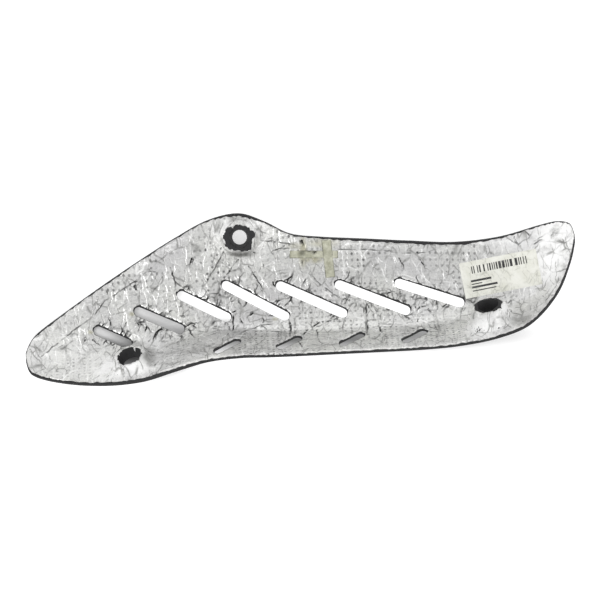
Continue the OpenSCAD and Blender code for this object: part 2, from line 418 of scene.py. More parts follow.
shell, at, cell = sheet_of("carbon_shell", shell_columns, shell_rows, face)
shell.data.materials.append(bare)
shell.data.materials.append(coated)
give_layout(shell, cloth[at])
thickness = shell.vertex_groups.new(name="wall")
for value in (wall / boss_wall, 1.0):
    thickness.add([int(i) for i in np.flatnonzero(wall_share[at] == value)], value, "REPLACE")
drop_cells(shell, ~kept[cell])
solid = shell.modifiers.new("wall", "SOLIDIFY")
solid.thickness, solid.offset, solid.vertex_group = boss_wall / 1000, -1, "wall"
solid.material_offset, solid.use_rim = 1, True
bpy.ops.object.modifier_apply(modifier="wall")
keep_in_box(shell)
bpy.ops.object.shade_smooth_by_angle(angle=smooth_angle)

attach(shell, "root")
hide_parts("shell")


# Foil lining
# Self-adhesive aluminium foil, rubbed down by hand over the whole inner face and cut back at
# the edge, the vents and the bolt faces. Handling has creased and cracked it, most of all
# between the vents and over the bosses, where the black laminate shows through. Its colour
# also carries painted light: highlights and shade along its folds, highlight streaks, glints
# on crushed patches, and shade in the deeper creases.
foil_lift = 0.3
foil_columns, foil_rows = 590, 152
foil_start, foil_end = 0.0028, 0.9975
shield_length = 365
dot_spacing = 3.7
rim_lift, lowest_lift, highest_lift = 0.03, 0.1, 0.62
mark_step = 0.3
fold_width = 0.9
pleat_reach, pleat_fade = 24, 10
wandering_creases, lengthwise_creases = 300, 90
cool_foil, warm_foil, grain_tone = (0.72, 0.715, 0.72, 1), (0.81, 0.815, 0.78, 1), (0.62, 0.62, 0.615, 1)
# Dark rubbing marks, and the tone of the painted highlight streaks.
rubbed_tone, glint_streak_tone = (0.45, 0.45, 0.45, 1), (0.94, 0.94, 0.94, 1)
# Painted highlight on the raised folds and painted shade in the sunken ones.
fold_highlight_tone, fold_shade_tone = (1.0, 1.0, 0.99, 1), (0.33, 0.33, 0.32, 1)
# Painted glint on crushed foil, painted shade, and stains.
glint_tone, shaded_tone, stained_tone = (0.98, 0.98, 0.975, 1), (0.16, 0.16, 0.15, 1), (0.47, 0.45, 0.31, 1)
# Black laminate in the cracks, also used as painted shade in the deeper creases.
dot_tone, laminate_and_crease_shade = (0.15, 0.15, 0.15, 1), (0.012, 0.012, 0.012, 1)
# Short cracks round each boss, as its number in the list, how far they reach out, and how many.
boss_cracks = [(1, 12.5, 46), (0, 19.0, 40), (2, 22.0, 34)]
# The photograph's frame: millimetres for a pixel at 12 mm over the bench, the pixel straight below
# the camera, and the camera's height over the bench and over those 12 mm.
pixel = 0.66
middle_px, middle_py = 301.5, 300.0
camera_height, scale_reach = 1500.0, 1488.0
crease_height, crease_shift = 8.0, 0.6


def drift(points, size, seed):
    """Smooth random heights from -1 to 1 in patches of a size."""
    lattice = np.random.default_rng(seed).uniform(-1, 1, (48, 48, 48))
    place = points / size + 517.3
    cell = np.floor(place).astype(int)
    f = place - cell
    f = f * f * (3 - 2 * f)
    total = np.zeros(points.shape[:-1])
    for corner in np.ndindex(2, 2, 2):
        share = np.prod(np.where(np.array(corner) == 1, f, 1 - f), axis=-1)
        x, y, z = np.moveaxis((cell + corner) % 48, -1, 0)
        total += share * lattice[x, y, z]
    return total


def crumple(points, size, seed):
    """Flat facets that meet in sharp folds."""
    broad, narrow = abs(drift(points, size, seed)), abs(drift(points, size * 0.47, seed + 1))
    return 1 - broad * 2.4 + 0.5 * (0.5 - narrow * 2)


def from_photo(px, py):
    """Plan position of a point of the foil seen in the photograph, for placing creases."""
    scale = pixel * (camera_height - crease_height) / scale_reach
    return np.array([(px - middle_px) * scale, (middle_py - py) * scale - crease_shift])


share = np.linspace(foil_start, foil_end, foil_columns + 1)[:, None] * np.ones(foil_rows + 1)
along = share[:, 0] * shield_length
rag = np.stack([along, 0 * along, 0 * along], -1)
# How far the foil stays back from the lower and the upper edge: ragged, and torn more in places.
low_gap = 0.45 + 0.3 * drift(rag, 2.5, 11) + 0.95 * np.clip((abs(along - 205) - 75) / 40, 0, 1)
low_gap = np.maximum(low_gap + 0.4 * drift(rag, 1.4, 14), 0.15)[:, None]
high_gap = 0.55 + 0.6 * drift(rag, 1.7, 12) + 0.6 * np.maximum(drift(rag, 9, 13), 0)
high_gap = high_gap + 1.0 * np.exp(-((along - 245) / 40) ** 4) + 0.9 * np.exp(-((along - 145) / 18) ** 4)
high_gap = np.maximum(high_gap, 0.12)[:, None]
reach = low_gap + np.linspace(0, 1, foil_rows + 1)[None, :] * (span(share) - low_gap - high_gap)
lining, drawn = drape(share, reach)
kept = np.ones((foil_columns, foil_rows), bool)
rim = np.zeros(share.shape, bool)
rim[[0, -1]] = rim[:, [0, -1]] = True


def torn_back(upper, lower, seed):
    """Margin of a vent in the foil: ragged above, close and neat below."""
    def margin(flat, way):
        points = np.concatenate([flat, np.zeros(flat.shape[:-1] + (1,))], -1)
        tears = 0.55 * drift(points, 1.3, seed) + 0.6 * np.maximum(drift(points, 3.2, seed + 1), 0)
        above = np.clip(way[..., 1] * 1.5 + 0.3, 0, 1)
        return lower + (upper - lower) * above + tears * above
    return margin


for i, (place, length, lean) in enumerate(long_slots):
    torn_slot = slot_outline(length, slot_width, math.radians(-lean), torn_back(1.0, 0.12, 30 + i))
    rim |= cut(lining, share, reach, kept, np.array([*place, 0.0]), np.eye(3), torn_slot, drawn < boss_free)
for i, (at_share, at_reach) in enumerate(side_slots):
    origin, axes = stand_at(at_share, at_reach)
    torn_slot = slot_outline(side_slot_length, side_slot_width, math.radians(side_slot_lean),
                             torn_back(0.45, 0.15, 50 + i))
    rim |= cut(lining, share, reach, kept, origin, axes, torn_slot, drawn < boss_free)
ring_width = [1.4, 4.2, 3.6]
ring_rag = [0.8, 1.5, 0.5]
ring_stretch = [0.0, 0.9, 0.3]
for i, (at_share, at_reach, height, radius) in enumerate(bosses):
    origin, axes = stand_at(at_share, at_reach)

    def bare_ring(angle, i=i):
        around = np.stack([3 * np.cos(angle), 3 * np.sin(angle), 0 * angle], -1)
        ragged = ring_rag[i] * (drift(around, 1.1, 70 + i) + 0.8 * drift(around, 0.45, 80 + i))
        return ring_width[i] + ring_stretch[i] * np.cos(2 * angle) + ragged

    torn_hole = hole_outline(radius, bare_ring)
    rim |= cut(lining, share, reach, kept, origin, axes, torn_hole, np.ones(share.shape, bool))
normal = facing(lining)

# Creases seen one by one, as points of the photograph's frame.
creases = [
    [(41, 356), (56, 343), (71, 331), (94, 314), (104, 300), (133, 281), (165, 255), (183, 244), (207, 234)],
    [(133, 285), (138, 295), (138, 306)],
    [(135, 281), (146, 270), (160, 272), (163, 280), (152, 290), (140, 299)],
    [(170, 267), (174, 278), (175, 289)], [(175, 281), (189, 291)], [(195, 255), (189, 268), (191, 277)],
    [(152, 345), (185, 350), (216, 355)], [(160, 340), (190, 343), (224, 347)], [(203, 324), (225, 331)],
    [(200, 321), (225, 328), (229, 332)], [(261, 325), (270, 331), (289, 332)],
    [(242, 332), (260, 325), (289, 320)], [(289, 319), (290, 328), (291, 338)],
    [(302, 334), (315, 327), (327, 322)], [(311, 274), (322, 285), (350, 304)], [(350, 304), (361, 299)],
    [(363, 302), (366, 325), (367, 340)], [(366, 300), (378, 325), (389, 339)],
    [(248, 265), (261, 285), (269, 298)], [(264, 266), (266, 275), (262, 284)],
    [(262, 255), (279, 248), (300, 247)], [(260, 239), (292, 243), (301, 248)],
    [(224, 251), (213, 270), (200, 292)], [(238, 258), (225, 276), (222, 283)],
    [(338, 248), (370, 249), (425, 251)], [(380, 294), (395, 291), (402, 296)], [(417, 319), (417, 331)],
    [(428, 309), (432, 313), (436, 318)], [(427, 321), (430, 326), (441, 331)],
    [(413, 298), (423, 297), (427, 302)], [(390, 251), (415, 253), (440, 248)], [(430, 276), (428, 287)],
    [(447, 270), (456, 281), (467, 293)], [(227, 335), (238, 340), (246, 343)],
    [(60, 345), (75, 352), (90, 356)], [(535, 240), (548, 232), (556, 226)],
    [(505, 235), (518, 243), (528, 238), (537, 226)], [(545, 300), (556, 285), (562, 268)],
    [(300, 239), (304, 245), (301, 247)], [(303, 240), (300, 244)], [(302, 260), (303, 266)],
    [(299, 268), (303, 272)]]
# Finer cracks, noted on enlarged views of the left and the right half of the photograph.
left_cracks = [
    [(602, 660), (618, 690)], [(455, 715), (470, 740), (482, 770)], [(535, 780), (545, 800), (560, 830)],
    [(555, 740), (545, 770)], [(610, 740), (622, 765), (612, 790), (600, 805)],
    [(655, 740), (660, 765), (650, 790), (660, 830)], [(700, 730), (712, 760)],
    [(735, 770), (712, 795), (695, 830), (690, 845)], [(770, 780), (765, 805)],
    [(885, 780), (900, 805), (915, 825)], [(860, 770), (890, 750), (925, 740), (980, 752)],
    [(920, 740), (905, 760), (925, 775)], [(1110, 690), (1135, 682)],
    [(1115, 705), (1112, 740), (1120, 770), (1108, 800), (1125, 830)],
    [(1085, 800), (1100, 815), (1115, 825)], [(1150, 720), (1165, 745), (1175, 760)],
    [(1200, 700), (1225, 690), (1270, 690), (1290, 700)], [(1410, 740), (1415, 780), (1412, 820)],
    [(1440, 820), (1470, 860), (1490, 890)], [(1380, 660), (1400, 640), (1420, 600), (1450, 590)],
    [(1200, 455), (1230, 500), (1260, 550), (1280, 590)],
    [(1270, 440), (1285, 490), (1275, 520), (1265, 550)], [(1320, 530), (1335, 560)],
    [(785, 450), (800, 490), (808, 540), (812, 570)], [(600, 545), (610, 590), (612, 640)],
    [(900, 400), (885, 440), (878, 475)], [(445, 560), (462, 600)], [(480, 540), (495, 570)],
    [(330, 820), (340, 850)], [(375, 830), (400, 850), (420, 870)], [(480, 940), (500, 912), (515, 925)],
    [(820, 760), (850, 745)], [(650, 885), (690, 900), (720, 890)], [(655, 930), (700, 920)],
    [(1475, 310), (1485, 335), (1475, 350)]]
right_cracks = [
    [(235, 660), (260, 650), (285, 635)], [(345, 660), (350, 720), (352, 790), (350, 840)],
    [(380, 700), (400, 750), (430, 800), (465, 835)], [(400, 600), (430, 590), (500, 580)],
    [(505, 660), (540, 635), (575, 615)], [(570, 600), (600, 610)],
    [(600, 650), (610, 680), (625, 660), (660, 655), (665, 630)], [(670, 670), (690, 695)],
    [(610, 730), (612, 780)], [(200, 750), (215, 730), (250, 715)],
    [(20, 800), (60, 770), (100, 740), (120, 710)], [(90, 780), (95, 830), (120, 850)],
    [(520, 400), (545, 450), (540, 480)], [(610, 370), (640, 430), (660, 460)],
    [(1120, 290), (1140, 330), (1160, 360)], [(1180, 260), (1210, 290)], [(1300, 300), (1330, 270)],
    [(1230, 330), (1260, 310), (1290, 315)]]
view_scale, view_top, left_view, right_view = 5.227, 180, 20, 300
cracks = [
    [(round(x / view_scale + view_start), round(y / view_scale + view_top)) for x, y in crack]
    for view_start, noted in ((left_view, left_cracks), (right_view, right_cracks)) for crack in noted]


def toward(heading):
    return np.array([math.cos(heading), math.sin(heading)])


def in_plan(u, v):
    """Plan position at a share u of the length and a share v of the width."""
    low, high = through(lower_edge, np.array([u]))[0], through(upper_edge, np.array([u]))[0]
    return low + (high - low) * v


def wander(start, heading, turns, stride, waver):
    """A path that walks on from a point with a wavering heading."""
    path = [start]
    for _ in range(turns):
        heading += chance.normal(0, waver)
        path.append(path[-1] + stride * toward(heading))
    return np.array(path)


chance = np.random.default_rng(4)
# Each line has its path in the plan, its darkness and its depth as a fold.
lines = [(np.array([from_photo(*p) for p in crease]), 0.75, 1.0) for crease in creases]
lines += [(np.array([from_photo(*p) for p in crack]), 1.3, 0.8) for crack in cracks]
for place, length, lean in long_slots:
    tilt = math.radians(-lean)
    way, out = toward(tilt), toward(tilt + math.pi / 2)
    for side in (-1, 1):
        beside = np.array(place) + out * side * (slot_width / 2 + 0.2)
        for _ in range(int(length / (3.2 if place[0] > -60.0 else 2.3))):
            start = beside + way * chance.uniform(-0.5, 0.5) * length
            heading = math.atan2(*(out * side)[::-1]) + chance.normal(0, 0.45)
            path = wander(start, heading, chance.integers(3, 9), 1.5, 0.45)
            lines.append((path, chance.uniform(0.65, 1.0), chance.uniform(0.3, 1.0)))
for which, reach_out, count in boss_cracks:
    at_share, at_reach = bosses[which][:2]
    centre = inner_face(np.array([at_share]), np.array([at_reach]))[0, :2]
    for _ in range(count):
        angle, r = chance.uniform(-math.pi, math.pi), chance.uniform(0.62, 1.0) * reach_out
        start, heading = centre + r * toward(angle), angle + chance.normal(0, 0.6)
        far = start + chance.uniform(0.8, 5.0) * toward(heading)
        lines.append((np.array([start, far]), chance.uniform(0.3, 1.0), chance.uniform(0.3, 1.0)))
for _ in range(wandering_creases):
    start = in_plan(chance.uniform(0.03, 0.97), chance.uniform(0.06, 0.94))
    heading = chance.normal(-1.3, 0.9)
    path = wander(start, heading, chance.integers(3, 14), 1.8, 0.28)
    lines.append((path, chance.uniform(0.05, 0.45), chance.uniform(0.2, 0.8)))
for _ in range(lengthwise_creases):
    start = in_plan(chance.uniform(0.22, 0.72), chance.uniform(0.03, 0.3))
    heading, run = chance.normal(0.03, 0.12), chance.uniform(8, 34)
    path = start + np.outer([0, 0.5, 1], run * toward(heading))
    lines.append((path, chance.uniform(0.1, 0.45), chance.uniform(0.2, 0.5)))

plan = np.column_stack([lining[::4, ::4, 0].ravel(), lining[::4, ::4, 1].ravel()])
guess = np.column_stack([share[::4, ::4].ravel(), reach[::4, ::4].ravel()])
coarse = kdtree.KDTree(len(plan))
for i, p in enumerate(plan):
    coarse.insert((p[0], p[1], 0), i)
coarse.balance()


def over_plan(points):
    """Height of the inner face over points of the plan, and the u and d found there."""
    nearest = [coarse.find((p[0], p[1], 0))[1] for p in points]
    return on_face(points, np.zeros(3), np.eye(3), guess[nearest, 0], guess[nearest, 1])


marks, weights, folds = [], [], []
for path, dark, depth in lines:
    steps = np.r_[0, np.cumsum(np.linalg.norm(np.diff(path, axis=0), axis=1))]
    stops = np.arange(0, steps[-1], mark_step)
    points = np.column_stack([np.interp(stops, steps, path[:, 0]), np.interp(stops, steps, path[:, 1])])
    wobble = np.column_stack([points, np.zeros(len(points))])
    points += 0.5 * np.column_stack([drift(wobble, 2.2, 91), drift(wobble, 2.2, 92)])
    taper = np.minimum(1, 2.5 * (1 - stops / steps[-1])) * np.clip(0.75 + 1.3 * drift(wobble, 3.0, 93), 0, 1)
    marks.append(points)
    weights.append(dark * taper)
    folds.append(depth * (0.5 + 0.5 * taper))
marks, weights, folds = np.concatenate(marks), np.concatenate(weights), np.concatenate(folds)
height, _, _ = over_plan(marks)
web = kdtree.KDTree(len(marks))
for i, (p, h) in enumerate(zip(marks, height)):
    web.insert((p[0], p[1], h), i)
web.balance()
found = [web.find(p) for p in lining.reshape(-1, 3)]
index = np.array([f[1] for f in found])
away = np.array([f[2] for f in found]).reshape(share.shape)
crack = weights[index].reshape(share.shape)
fold = folds[index].reshape(share.shape) * np.exp(-away / fold_width)

# The foil is roughest towards the ends and round the bosses, where it is pleated too.
ends = np.clip((abs(share - 0.47) - 0.30) / 0.14, 0, 1)
shoulder = np.zeros(share.shape)
pleats = np.zeros(share.shape)
for i, (at_share, at_reach, height, radius) in enumerate(bosses):
    origin, axes = stand_at(at_share, at_reach)
    local = (lining - origin) @ axes
    rho, angle = np.hypot(local[..., 0], local[..., 1]), np.arctan2(local[..., 1], local[..., 0])
    close = np.clip((pleat_reach - rho) / pleat_fade, 0, 1) * (abs(local[..., 2]) < 18)
    shoulder = np.maximum(shoulder, close)
    ray = np.stack([4.2 * np.cos(angle), 4.2 * np.sin(angle), rho / 9], -1)
    pleats += close * (0.5 - abs(drift(ray, 1.0, 60 + i)) * 2)
rough = np.clip(0.18 + 0.6 * ends + 0.75 * shoulder, 0, 1)

# Painted glints on crushed foil, painted shade, and stains, as middle, half sizes and strength
# in the photograph's frame.
glint_patches = [
    ((562, 250), (34, 46), 1.0), ((515, 240), (44, 12), 0.5), ((111, 368), (18, 11), 1.0),
    ((138, 366), (17, 8), 1.0), ((222, 230), (9, 9), 1.0), ((256, 224), (9, 8), 1.0),
    ((505, 312), (12, 11), 0.8), ((482, 328), (16, 9), 0.9), ((62, 356), (36, 18), 0.3),
    ((540, 300), (16, 16), 0.4), ((350, 312), (60, 26), 0.22), ((160, 345), (26, 10), 0.3),
    ((425, 305), (40, 18), 0.25)]
shaded = [
    ((241, 254), (13, 3), 0.8), ((149, 357), (6, 8), 0.6), ((521, 318), (12, 7), 0.6),
    ((469, 299), (8, 4), 0.6), ((545, 308), (14, 9), 0.35), ((128, 343), (14, 2.5), 0.5),
    ((226, 262), (12, 8), 0.25), ((205, 350), (30, 5), 0.25)]
stained = [
    ((303, 252), (4, 13), 0.8), ((313, 260), (8, 3), 0.9), ((322, 243), (14, 4), 0.5),
    ((296, 246), (8, 3), 0.4), ((91, 332), (2.5, 2), 0.7), ((132, 314), (2.5, 2), 0.7),
    ((275, 319), (3, 1.5), 0.6)]


def spread(points, ovals):
    """Strength of a set of ovals of the photograph's frame at points of the inner face."""
    seen = (points[..., :2] + set_down[:2]) * scale_reach / pixel / (camera_height - points[..., 2:])
    total = np.zeros(points.shape[:-1])
    for (px, py), (half_x, half_y), strength in ovals:
        across = seen[..., 0] - (px - middle_px + set_down[0] / pixel)
        up = seen[..., 1] - (middle_py - py + set_down[1] / pixel)
        total = np.maximum(total, strength * np.clip(1.5 - np.hypot(across / half_x, up / half_y), 0, 1))
    return total


# Each layer of relief has its strength in millimetres, and the size and seed of its patches.
relief = rough * (0.16 * crumple(lining, 5.2, 21) + 0.10 * crumple(lining, 2.4, 23))
relief += 0.10 * crumple(lining, 13.0, 25) + 0.22 * fold + 0.22 * pleats + 0.05 * drift(lining, 1.6, 27)
zone = np.clip(1.3 * drift(lining, 24.0, 29) + 0.75 - 1.1 * shoulder - 0.7 * ends, 0, 1)
# The foil's own layout in millimetres, turned a little against the shield.
flat = np.stack([lining[..., 0] * 0.997 + lining[..., 1] * 0.07,
                 lining[..., 1] - lining[..., 2] - 0.07 * lining[..., 0]], -1)

label_centre = np.array([132.3, 17.4])
label_turn = math.radians(11)
label_size = np.array([52.0, 24.0])
inside = (lining[..., :2] - label_centre) @ turned(label_turn).T
under = np.clip((label_size / 2 + 1 - abs(inside)).min(axis=-1), 0, 1)
relief = relief * (1 - 0.9 * under) + 0.02 * under
lift = np.clip(foil_lift + relief, lowest_lift, highest_lift)
lift[rim] = rim_lift
lining = lining + normal * lift[..., None]

foil, at, cell = sheet_of("foil_lining_sheet", foil_columns, foil_rows, lining)
give_layout(foil, flat[at], "flat")
note(foil, "gap", np.minimum(away, 3.0)[at])
note(foil, "dark", crack[at])
note(foil, "dots", (zone * (1 - under))[at])
note(foil, "rough", rough[at])
for name, ovals in (("glint", glint_patches), ("shade", shaded), ("stain", stained)):
    note(foil, name, spread(lining, ovals)[at])
drop_cells(foil, ~kept[cell])
keep_in_box(foil)
bpy.ops.object.shade_smooth()


def ramp(tree, value, start, end):
    """Rises from 0 to 1 as a value goes from start to end."""
    return add(tree, "ShaderNodeMapRange", Value=value, From_Min=start, From_Max=end).outputs[0]


def bent_layout(tree, laid, scale, detail):
    """A layout bent by some millimetres, so that nothing drawn on it is quite straight."""
    shift = add(tree, "ShaderNodeTexNoise", Vector=laid, Scale=scale, Detail=detail).outputs[1]
    how = {"operation": "MULTIPLY_ADD"}
    return add(tree, "ShaderNodeVectorMath", how, i0=shift, i1=(5.0, 5.0, 0.0), i2=laid).outputs[0]


def stretched(tree, laid, turn, by_x, by_y):
    made = add(tree, "ShaderNodeMapping", Vector=laid, Rotation=(0, 0, turn), Scale=(by_x, by_y, 1))
    return made.outputs[0]


def from_cell_edge(tree, place, scale):
    made = add(tree, "ShaderNodeTexVoronoi", {"feature": "DISTANCE_TO_EDGE"}, Vector=place, Scale=scale)
    return made.outputs[0]


def hairlines(tree, laid, size, squash, turn, width):
    """Thin lines between stretched cells, in millimetres."""
    laid = stretched(tree, laid, turn, 1 / size, squash / size)
    return ramp(tree, from_cell_edge(tree, laid, 1.0), width, 0.0)


def web_of(tree, laid, first, second):
    """Two sets of hairlines over each other, each given by its size, squash, turn and width."""
    return maths(tree, "MAXIMUM", hairlines(tree, laid, *first), hairlines(tree, laid, *second))


def streaks(tree, laid, turn, length, width):
    """Fine straight streaks, in millimetres: dark rubbing marks, and painted highlight streaks."""
    return noise(tree, stretched(tree, laid, turn, 1 / length, 1 / width), 1.0, 2.0)


metal, tree, shader = finish_with("creased_foil")
place = add(tree, "ShaderNodeTexCoord").outputs["Object"]
laid = add(tree, "ShaderNodeUVMap", {"uv_map": "flat"}).outputs[0]
gap_at, dark_at, dots_at, rough_at, glint_at, shade_at, stain_at = (
    add(tree, "ShaderNodeAttribute", {"attribute_name": name}).outputs["Fac"]
    for name in ("gap", "dark", "dots", "rough", "glint", "shade", "stain"))
cloudy = ramp(tree, noise(tree, place, 30.0, 4.0), 0.35, 0.65)
fine = noise(tree, place, 900.0, 4.0, 0.7)
patchy = noise(tree, place, 120.0, 4.0)
other_patchy = noise(tree, place, 150.0, 4.0)
bent = bent_layout(tree, laid, 0.12, 4.0)
# Hairline webs along the folds: the raised ones get a painted highlight and the sunken ones painted shade;
# the same webs give the relief.
fold_shade_web = web_of(tree, bent, (13.0, 0.55, 0.6, 0.028), (9.0, 0.4, -0.9, 0.04))
ridge_highlight_web = web_of(tree, bent, (11.0, 0.45, 1.9, 0.03), (7.5, 0.5, 0.1, 0.04))
ridge_highlight_web = maths(tree, "MULTIPLY", ridge_highlight_web, ramp(tree, patchy, 0.46, 0.60))
fold_shade_web = maths(tree, "MULTIPLY", fold_shade_web, ramp(tree, patchy, 0.56, 0.42))
rubbed = maths(tree, "MAXIMUM", streaks(tree, bent, -0.35, 9.0, 0.8), streaks(tree, bent, -1.15, 8.0, 0.8))
# Bright streaks: painted highlights along the rubbed foil; they also give a fine relief.
glint_streaks = maths(tree, "MAXIMUM", streaks(tree, bent, 0.9, 8.0, 0.7), streaks(tree, bent, 2.6, 9.0, 0.7))
per_dot = 1 / dot_spacing
cells = add(tree, "ShaderNodeVectorMath", {"operation": "SCALE"}, Vector=laid, Scale=per_dot).outputs[0]
corner = add(tree, "ShaderNodeVectorMath", {"operation": "FRACTION"}, Vector=cells).outputs[0]
dot_middle = (0.5, 0.5, 0.0)
off_dot = add(tree, "ShaderNodeVectorMath", {"operation": "DISTANCE"}, i0=corner, i1=dot_middle).outputs[1]
cell_at = add(tree, "ShaderNodeVectorMath", {"operation": "FLOOR"}, Vector=cells).outputs[0]
some = add(tree, "ShaderNodeTexWhiteNoise", {"noise_dimensions": "2D"}, Vector=cell_at).outputs[0]
dot = ramp(tree, maths(tree, "MULTIPLY_ADD", fine, 0.2, off_dot), 0.38, 0.24)
dot = maths(tree, "MULTIPLY", dot, maths(tree, "MULTIPLY", some, dots_at))
ragged_gap = maths(tree, "MULTIPLY_ADD", fine, 0.5, gap_at)
# Dark lines along creases and cracks: black laminate where the foil is cracked, and painted shade along the
# deeper creases.
line = maths(tree, "MULTIPLY", ramp(tree, ragged_gap, 0.84, 0.62), ramp(tree, dark_at, 0.0, 1.0))
# Painted glints: in these patches the foil turns white and less metallic, as crushed foil catching the light.
glint_cover = maths(tree, "MULTIPLY", glint_at, ramp(tree, other_patchy, 0.30, 0.50))
line = maths(tree, "MULTIPLY", line, maths(tree, "MULTIPLY_ADD", glint_cover, -0.4, 1.0))
shade = maths(tree, "MULTIPLY", shade_at, ramp(tree, patchy, 0.30, 0.55))
stain = maths(tree, "MULTIPLY", stain_at, ramp(tree, patchy, 0.28, 0.50))
tone = blend(tree, cloudy, cool_foil, warm_foil)
for cover, cover_tone in (
        (ramp(tree, fine, 0.56, 0.36), grain_tone), (ramp(tree, rubbed, 0.62, 0.86), rubbed_tone),
        (ramp(tree, glint_streaks, 0.62, 0.84), glint_streak_tone), (ridge_highlight_web, fold_highlight_tone),
        (glint_cover, glint_tone), (fold_shade_web, fold_shade_tone), (shade, shaded_tone), (stain, stained_tone),
        (dot, dot_tone), (line, laminate_and_crease_shade)):
    tone = blend(tree, cover, tone, cover_tone)
metallic = maths(tree, "MULTIPLY_ADD", glint_cover, -0.9, 1.0)
roughness = maths(tree, "MULTIPLY_ADD", rough_at, 0.42, maths(tree, "MULTIPLY_ADD", fine, 0.2, 0.16))
roughness = maths(tree, "MULTIPLY_ADD", line, 0.3, roughness)
feed(tree, shader, Base_Color=tone, Metallic=metallic, Roughness=roughness)
facet = from_cell_edge(tree, place, 330.0)
facet_bump = maths(tree, "MULTIPLY", maths(tree, "MINIMUM", facet, 0.25), ramp(tree, rough_at, 0.15, 1.0))
emboss(tree, shader, facet_bump, 0.0011, 0.8)
emboss(tree, shader, maths(tree, "SUBTRACT", ridge_highlight_web, fold_shade_web), 0.0002, 0.5)
emboss(tree, shader, maths(tree, "ADD", fine, glint_streaks), 0.00015, 0.4)
foil.data.materials.append(metal)
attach(foil, "root")
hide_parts("foil_lining")


# Label
# A cream paper label, stuck on the foil beside the right boss and slightly wrinkled with it.
# Its print is kept to plain bars and strips.
label_columns, label_rows = 150, 69
label_lift = 0.44
paper_thickness = 0.15
bars_middle, bars_half = 0.4, 19.0
bars_bottom, bars_top = 3.6, 8.6
# The other printed strips, as left, right, bottom and top in millimetres from the label's middle.
strips = [
    (-20.5, -6.5, -1.9, -0.4), (-20.5, -13.0, -3.5, -2.8),
    (-20.5, -3.0, -6.2, -4.6), (-20.5, -4.5, -8.3, -7.6)]
# Paper and ink, each with its light and its dark tone and the tone along its wrinkles, painted shade on the
# paper.
papers = [
    ("cream_paper", (0.86, 0.86, 0.80, 1), (0.72, 0.72, 0.64, 1), (0.30, 0.30, 0.26, 1)),
    ("print_ink", (0.04, 0.04, 0.04, 1), (0.02, 0.02, 0.02, 1), (0.2, 0.2, 0.2, 1))]


def stuck_on(centre, size, angle, columns, rows):
    """A flat grid laid on the inner face, its u and d there, and how far its points are from its edge."""
    x, y = np.meshgrid(np.linspace(-0.5, 0.5, columns + 1), np.linspace(-0.5, 0.5, rows + 1), indexing="ij")
    flat = np.stack([x * size[0], y * size[1]], -1)
    _, u, d = over_plan((np.array(centre) + flat @ turned(angle)).reshape(-1, 2))
    edge = np.minimum(size[0] / 2 - abs(flat[..., 0]), size[1] / 2 - abs(flat[..., 1]))
    return flat, u.reshape(x.shape), d.reshape(x.shape), edge


def thicken(piece, thickness):
    """Gives a sheet its thickness, below the face that it was shaped to."""
    solid = piece.modifiers.new("thickness", "SOLIDIFY")
    solid.thickness, solid.offset = thickness / 1000, -1
    bpy.ops.object.modifier_apply(modifier="thickness")
    bpy.ops.object.shade_smooth_by_angle(angle=smooth_angle)


flat, u_at, d_at, edge = stuck_on(label_centre, label_size, label_turn, label_columns, label_rows)
paper_points = drape(u_at, d_at)[0]
up = facing(paper_points)
wave = 0.10 * crumple(paper_points, 6.0, 41) + 0.05 * drift(paper_points, 2.2, 43)
wave = np.clip(wave, -0.05, 0.15) * np.clip(edge / 2, 0.2, 1)
paper_points = paper_points + up * (label_lift + wave)[..., None]
label, at, cell = sheet_of("paper_label", label_columns, label_rows, paper_points)
give_layout(label, flat[at], "print")
middle_x = (cell[0] + 0.5) / label_columns * label_size[0] - label_size[0] / 2
middle_y = (cell[1] + 0.5) / label_rows * label_size[1] - label_size[1] / 2
widths = np.random.default_rng(8).choice([2, 2, 3, 5], size=64)
bars = np.repeat(np.arange(64) % 2 == 0, widths)
bar_at = ((middle_x + bars_half) * label_columns / label_size[0]).astype(int)
inked = (middle_y > bars_bottom) & (middle_y < bars_top) & (abs(middle_x - bars_middle) < bars_half)
inked &= bars[np.clip(bar_at, 0, len(bars) - 1)]
for left, right, bottom, top in strips:
    inked |= (middle_x > left) & (middle_x < right) & (middle_y > bottom) & (middle_y < top)
label.data.polygons.foreach_set("material_index", inked.astype(np.int32))
thicken(label, paper_thickness)
for name, light, shade, shade_line in papers:
    paper, tree, shader = finish_with(name)
    place = add(tree, "ShaderNodeTexCoord").outputs["Object"]
    mottle = noise(tree, place, 130.0, 5.0, 0.6)
    laid = add(tree, "ShaderNodeUVMap", {"uv_map": "print"}).outputs[0]
    bent = bent_layout(tree, laid, 0.2, 3.0)
    wrinkle = web_of(tree, bent, (8.0, 0.6, 0.7, 0.05), (5.5, 0.5, -0.8, 0.05))
    wrinkle = maths(tree, "MULTIPLY", wrinkle, ramp(tree, mottle, 0.4, 0.62))
    tone = blend(tree, ramp(tree, mottle, 0.35, 0.7), light, shade)
    # Painted shade along the paper's wrinkles; on the ink the wrinkle lines are lighter.
    tone = blend(tree, maths(tree, "MULTIPLY", wrinkle, 0.55), tone, shade_line)
    feed(tree, shader, Base_Color=tone, Roughness=0.45)
    emboss(tree, shader, noise(tree, place, 2600.0, 2.0), 0.00005, 0.4)
    label.data.materials.append(paper)
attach(label, "root")
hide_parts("label")


# Old tape
# Two strips of clear tape, gone yellow with heat, stuck across each other on the foil below
# the upper edge, with dirt along their edges.
tape_thickness = 0.12
tape_grid = 0.4
# Each strip has its name, node, middle, size, turn and height over the laminate.
tapes = [
    ("tape_along_strip", "tape_along", (8.1, 30.2), (32.0, 5.0), 0.0, 0.62),
    ("tape_across_strip", "tape_across", (17.7, 27.4), (25.0, 6.3), math.radians(-83.4), 0.70)]
clear_tape, brown_tape, dirt_tone = (0.66, 0.66, 0.54, 1), (0.40, 0.40, 0.30, 1), (0.05, 0.048, 0.04, 1)
